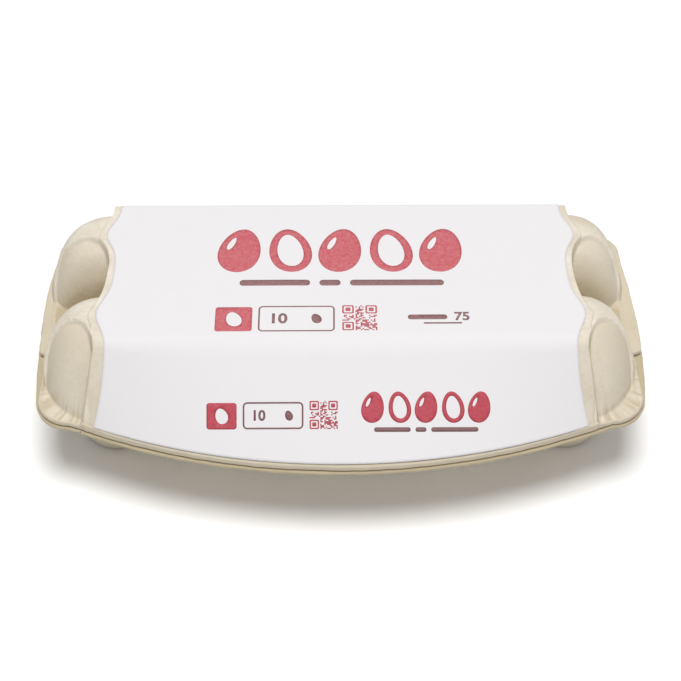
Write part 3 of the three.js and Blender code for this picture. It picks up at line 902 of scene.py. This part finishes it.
# The block of squares: how many a side, the share that is inked, and the frames in its corners
squares = {"count": 21, "inked": 0.52, "cell": 0.95, "eye": 7, "seed": 61}
topPrint = {
    "baseY": -36.0,
    "eggs": {"x": 0.0, "y": 48.7, "pitch": 21.8, "width": 18.2, "height": 27.0, "ring": 3.6, "tilt": 9.0},
    "bars": {"x": -43.0, "y": 28.7, "lengths": (30, 9, 40), "gap": 4.0, "height": 3.5},
    "badge": {"x": -52.5, "y": 0.2, "width": 15.5, "height": 14.0},
    "box": {"x": -34.5, "y": 0.0, "width": 32.0, "height": 14.8},
    "squares": {"x": 0.6, "y": 0.5, "size": 14.6},
    "weight": {"x": 47.5, "y": 6.0, "height": 5.0},
    "weightBars": [(28.0, 6.8, 16.5, 2.8, 1.3), (34.5, 4.2, 16.0, 0.9, 0.4)],   # and each one's corner
    "red": ("#C0535C", "#CC7C80"), "brown": ("#86605F", "#9A7678"),
}
frontPrint = {
    "base": 36.4,               # below the fold
    "eggs": {"x": 35.0, "y": 8.9, "pitch": 11.0, "width": 9.2, "height": 13.0, "ring": 1.8, "tilt": 9.0},
    "bars": {"x": 13.5, "y": -0.3, "lengths": (15, 4.5, 19.5), "gap": 2.0, "height": 1.9},
    "badge": {"x": -55.5, "y": 0.0, "width": 12.5, "height": 10.9},
    "box": {"x": -40.5, "y": 0.0, "width": 25.0, "height": 11.2},
    "squares": {"x": -13.0, "y": 0.0, "size": 11.6},
    "red": ("#B23A49", "#BC505C"), "brown": ("#745052", "#866264"),
}


def onTop(points, lift):
    return labelPlace(points[:, 0], topPrint["baseY"] + points[:, 1], lift)


def onFront(points, lift):
    x, down = points[:, 0], frontPrint["base"] - points[:, 1]
    run = lid["frontFoldY"] - frontEdge(x) - lid["ledge"] - lid["footGap"]
    flat = run / np.hypot(run, lid["panelZ"] - lid["shelfZ"])
    return labelPlace(x, lid["frontFoldY"] - down * flat, lift)


# Flat outlines: a shape is a list of loops, and the inner loops are its holes
def rounded(x, y, width, height, corner):
    loop = []
    for k, (cx, cy) in enumerate(((1, 1), (0, 1), (0, 0), (1, 0))):
        centre = (mix(x + corner, x + width - corner, cx), mix(y + corner, y + height - corner, cy))
        for step in range(ink["arcSteps"] + 1):
            angle = math.pi / 2 * (k + step / ink["arcSteps"])
            loop.append((centre[0] + corner * math.cos(angle), centre[1] + corner * math.sin(angle)))
    return np.array(loop)


def eggLoop(x, y, width, height, tilt):
    t = np.linspace(0, 2 * math.pi, eggMark["points"], endpoint=False)
    across = width / 2 * np.cos(t) * (1 - eggMark["taper"] * np.sin(t))
    up = height / 2 * np.sin(t)
    turn = math.radians(tilt)
    return np.stack([
        x + across * math.cos(turn) - up * math.sin(turn),
        y + across * math.sin(turn) + up * math.cos(turn),
    ], 1)


# Long straight stretches get extra points, so that the film follows the bowed panel
def finer(loop):
    points = []
    for a, b in zip(loop, np.roll(loop, -1, axis=0)):
        pieces = max(1, int(np.ceil(np.linalg.norm(b - a) / ink["step"])))
        points += [mix(a, b, k / pieces) for k in range(pieces)]
    return np.array(points)


def within(points, loops):
    inside = np.zeros(len(points), bool)
    for loop in loops:
        for (ax, ay), (bx, by) in zip(loop, np.roll(loop, -1, axis=0)):
            if ay != by:
                crossing = ax + (points[:, 1] - ay) / (by - ay) * (bx - ax)
                inside ^= ((ay > points[:, 1]) != (by > points[:, 1])) & (points[:, 0] < crossing)
    return inside


def fillShape(loops):
    loops = [finer(loop) for loop in loops]
    outer = np.concatenate(loops)
    edges, start = [], 0
    for loop in loops:
        edges += [(start + k, start + (k + 1) % len(loop)) for k in range(len(loop))]
        start += len(loop)
    low, high = outer.min(axis=0), outer.max(axis=0)
    steps = [np.arange(low[k] + ink["step"] / 2, high[k], ink["step"]) for k in (0, 1)]
    inner = np.stack(np.meshgrid(*steps), -1).reshape(-1, 2)
    apart = np.linalg.norm(inner[:, None] - outer[None], axis=-1).min(axis=1) > ink["step"] / 3
    inner = inner[apart & within(inner, loops)]
    points = [Vector(p) for p in np.concatenate([outer, inner])]
    result = delaunay_2d_cdt(points, edges, [], 0, 1e-5)
    points, faces = np.array([tuple(p) for p in result[0]]), np.array(result[2])
    return points, faces[within(points[faces].mean(axis=1), loops)]


# Digits come from Blender's own plain typeface
def digits(text, x, y, height):
    curve = bpy.data.curves.new("digits", "FONT")
    curve.body = text
    curve.offset = ink["bolder"]
    carrier = addObject("digits", curve)
    bpy.context.view_layer.update()
    mesh = bpy.data.meshes.new_from_object(carrier.evaluated_get(bpy.context.evaluated_depsgraph_get()))
    bpy.data.objects.remove(carrier)
    bpy.data.curves.remove(curve)
    mesh.calc_loop_triangles()
    points = np.array([v.co[:2] for v in mesh.vertices])
    faces = np.array([t.vertices[:] for t in mesh.loop_triangles])
    bpy.data.meshes.remove(mesh)
    unique, index = np.unique(points.round(5), axis=0, return_inverse=True)
    faces = index.reshape(-1)[faces]
    faces = faces[(faces != np.roll(faces, 1, axis=1)).all(axis=1)]
    low, high = unique.min(axis=0), unique.max(axis=0)
    scale = height / (high[1] - low[1])
    return (unique - low) * scale + [x, y], faces


def inkPiece(name, films, place, material):
    points, faces, start = [], [], 0
    half = labelShape["thickness"] / 2
    for flat, triangles in films:
        a, b, c = (flat[triangles[:, k]] for k in (0, 1, 2))
        turned = (b[:, 0] - a[:, 0]) * (c[:, 1] - a[:, 1]) < (b[:, 1] - a[:, 1]) * (c[:, 0] - a[:, 0])
        triangles = np.where(turned[:, None], triangles[:, ::-1], triangles)
        count = len(flat)
        points += [place(flat, half + ink["above"]), place(flat, half - ink["below"])]
        sides = {(int(t[k]), int(t[(k + 1) % 3])) for t in triangles for k in range(3)}
        border = sorted((p, q) for p, q in sides if (q, p) not in sides)
        faces += [tuple(int(v) + start for v in t) for t in triangles]
        faces += [tuple(int(v) + start + count for v in t[::-1]) for t in triangles]
        faces += [(p + start, p + start + count, q + start + count, q + start) for p, q in border]
        start += 2 * count
    makePiece(name, np.concatenate(points), faces, material)


def eggRow(row):
    shapes = []
    width, height = row["width"], row["height"]
    for k in range(eggs["perRow"]):
        outlined = k % 2 == 1
        x = row["x"] + (k - eggs["perRow"] // 2) * row["pitch"]
        tilt = row["tilt"] if outlined else -row["tilt"]
        if outlined:
            inner = eggLoop(x, row["y"], width - 2 * row["ring"], height - 2 * row["ring"], tilt)
        else:
            inner = eggLoop(
                x - shine["left"] * width, row["y"] + shine["up"] * height,
                shine["width"] * width, shine["height"] * height, shine["tilt"])
        shapes.append([eggLoop(x, row["y"], width, height, tilt), inner[::-1]])
    return shapes


def barRow(row):
    shapes, x, height = [], row["x"], row["height"]
    for length in row["lengths"]:
        shapes.append([rounded(x, row["y"] - height / 2, length, height, height / ink["barRound"])])
        x += length + row["gap"]
    return shapes


def badgeShapes(row):
    width, height = row["width"], row["height"]
    egg = eggLoop(
        row["x"] + width / 2, row["y"] + height / 2,
        badgeEgg["width"] * width, badgeEgg["height"] * height, badgeEgg["tilt"])
    return [[rounded(row["x"], row["y"], width, height, ink["corner"]), egg[::-1]]]


def boxShapes(row):
    x, y, width, height = row["x"], row["y"], row["width"], row["height"]
    line, corner = ink["line"], ink["boxCorner"]
    inner = rounded(x + line, y + line, width - 2 * line, height - 2 * line, corner - line)
    egg = eggLoop(
        x + boxEgg["x"] * width, y + height / 2,
        boxEgg["width"] * height, boxEgg["height"] * height, boxEgg["tilt"])
    return [[rounded(x, y, width, height, corner), inner[::-1]], [egg]]


def boxDigits(row):
    x, y = row["x"] + boxNumber["x"] * row["width"], row["y"] + boxNumber["y"] * row["height"]
    return digits("10", x, y, boxNumber["height"] * row["height"])


# Small squares by a seeded rule, with a framed square in three of the corners
def squareShapes(row):
    n, eye = squares["count"], squares["eye"]
    cell = row["size"] / n
    inked = np.random.default_rng(squares["seed"]).random((n, n)) < squares["inked"]
    corners = ((0, 0), (0, n - eye), (n - eye, n - eye))
    shapes = []
    for i, j in corners:
        inked[max(0, i - 1):i + eye + 1, max(0, j - 1):j + eye + 1] = False
        x, y = row["x"] + i * cell, row["y"] + j * cell
        outer, hole, core = eye * cell, (eye - 2) * cell, (eye - 4) * cell
        inner = rounded(x + cell, y + cell, hole, hole, cell / 2)
        shapes.append([rounded(x, y, outer, outer, cell), inner[::-1]])
        shapes.append([rounded(x + 2 * cell, y + 2 * cell, core, core, cell / 2)])
    for i, j in zip(*np.nonzero(inked)):
        x, y = row["x"] + i * cell, row["y"] + j * cell
        side = squares["cell"] * cell
        shapes.append([np.array([(x, y), (x + side, y), (x + side, y + side), (x, y + side)])])
    return shapes


# The eggs, the badge and the squares are red, and the lines and digits are a duller red-brown
def makePrint(name, layout, place, inkName):
    shapes = eggRow(layout["eggs"]) + badgeShapes(layout["badge"]) + squareShapes(layout["squares"])
    red = printingInk(inkName + "RedInk", *layout["red"])
    inkPiece(name, [fillShape(shape) for shape in shapes], place, red)
    shapes = barRow(layout["bars"]) + boxShapes(layout["box"])
    shapes += [[rounded(*bar)] for bar in layout.get("weightBars", [])]
    films = [fillShape(shape) for shape in shapes] + [boxDigits(layout["box"])]
    if "weight" in layout:
        weight = layout["weight"]
        films.append(digits("75", weight["x"], weight["y"], weight["height"]))
    inkPiece(name + "Fine", films, place, printingInk(inkName + "BrownInk", *layout["brown"]))


makePrint("topPrint", topPrint, onTop, "faded")
makePrint("frontPrint", frontPrint, onFront, "deep")
print("print made")

# Floor, light and camera
studio = {
    "floor": "#FBFBFB",
    "floorSize": 14.0, "world": 0.3,
    "key": {"place": (0.0, -0.31, 3.0), "size": 1.56, "power": 77.0},
    "fill": {"place": (0.9, -1.2, 0.9), "size": 1.2, "power": 1.5},
}


def makeFloor():
    half = studio["floorSize"] / 2
    mesh = bpy.data.meshes.new("floor")
    corners = [(-half, -half, 0), (half, -half, 0), (half, half, 0), (-half, half, 0)]
    mesh.from_pydata(corners, [], [(0, 1, 2, 3)])
    material, tree = newMaterial("matPaintedFloor")
    shader = addNode(
        tree, "BsdfPrincipled", None, {"Base Color": linear(studio["floor"]), "Roughness": 0.9})
    finish(tree, shader)
    mesh.materials.append(material)
    floor = addObject("floor", mesh)


def addSoftbox(name, softbox):
    light = bpy.data.lights.new(name, "AREA")
    light.shape = "DISK"
    light.size = softbox["size"]
    light.energy = softbox["power"]
    lamp = addObject(name, light)
    lamp.location = softbox["place"]
    down = -lamp.location.normalized()
    lamp.rotation_euler = down.to_track_quat("-Z", "Y").to_euler()


def makeLight():
    world = bpy.data.worlds.new("studio")
    bpy.context.scene.world = world
    world.use_nodes = True
    background = world.node_tree.nodes["Background"].inputs
    background["Color"].default_value = (1, 1, 1, 1)
    background["Strength"].default_value = studio["world"]
    addSoftbox("keySoftbox", studio["key"])
    addSoftbox("fillSoftbox", studio["fill"])
    bpy.context.scene.view_settings.view_transform = "Standard"


# The photograph's own view: from the front and above, with a long lens
camera = {
    "elevation": 48.0,      # of the line to the lens from the middle of the footprint
    "distance": 781.1, "turn": 0.254, "lens": 89.83,
    "tilt": 1.42,           # how far the lens looks above that line, so the carton sits low
}


def makeCamera():
    data = bpy.data.cameras.new("camera")
    data.lens = camera["lens"]
    data.sensor_width = 36.0
    eye = addObject("camera", data)
    elevation, turn = math.radians(camera["elevation"]), math.radians(camera["turn"])
    flat = camera["distance"] * math.cos(elevation)
    place = [[-flat * math.sin(turn), -flat * math.cos(turn), camera["distance"] * math.sin(elevation)]]
    eye.location = toMetres(place)[0]
    eye.rotation_euler = (math.radians(90 - camera["elevation"] + camera["tilt"]), 0, -turn)
    bpy.context.scene.camera = eye


makeFloor()
makeLight()
makeCamera()
print("studio made")
